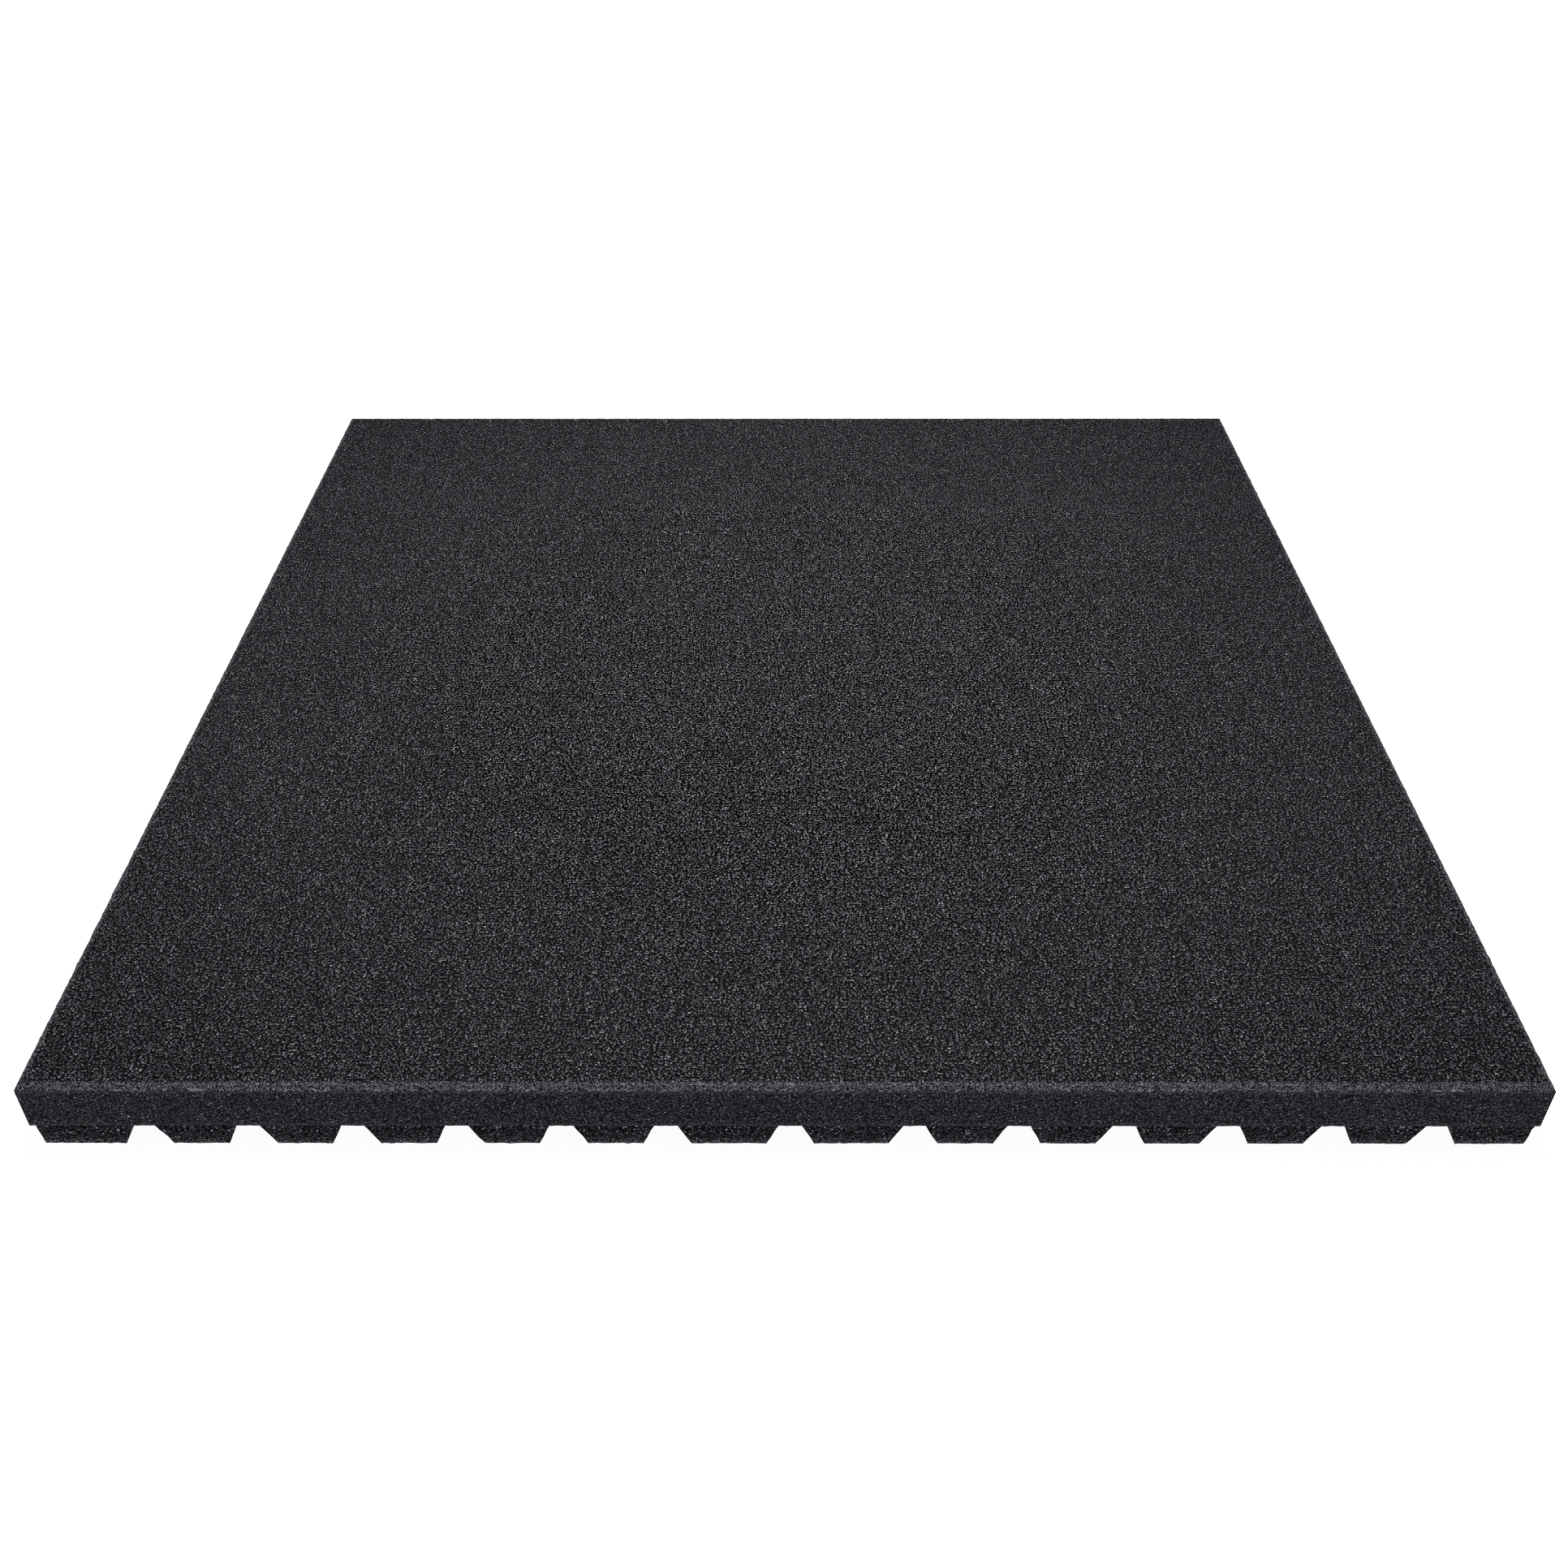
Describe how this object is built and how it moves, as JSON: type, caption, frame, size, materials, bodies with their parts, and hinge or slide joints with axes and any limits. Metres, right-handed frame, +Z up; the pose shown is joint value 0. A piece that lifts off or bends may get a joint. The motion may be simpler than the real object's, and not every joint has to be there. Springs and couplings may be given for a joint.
{
  "type": "rubber gym floor tile",
  "caption": "Square gym floor tile of black bonded rubber granulate with a flat granular top and moulded tapered feet.",
  "frame": {"origin": "the middle of the tile at floor level, under its feet", "axes": "+Z up out of the walking surface, +X and +Y along the sides, the edge in front of the picture at -Y"},
  "size_m": [0.5, 0.5, 0.03],
  "materials": {
    "rubber_granulate": "matt granular"
  },
  "bodies": {
    "root": {"rubber_tile": "rubber_granulate"}
  },
  "joints": []
}
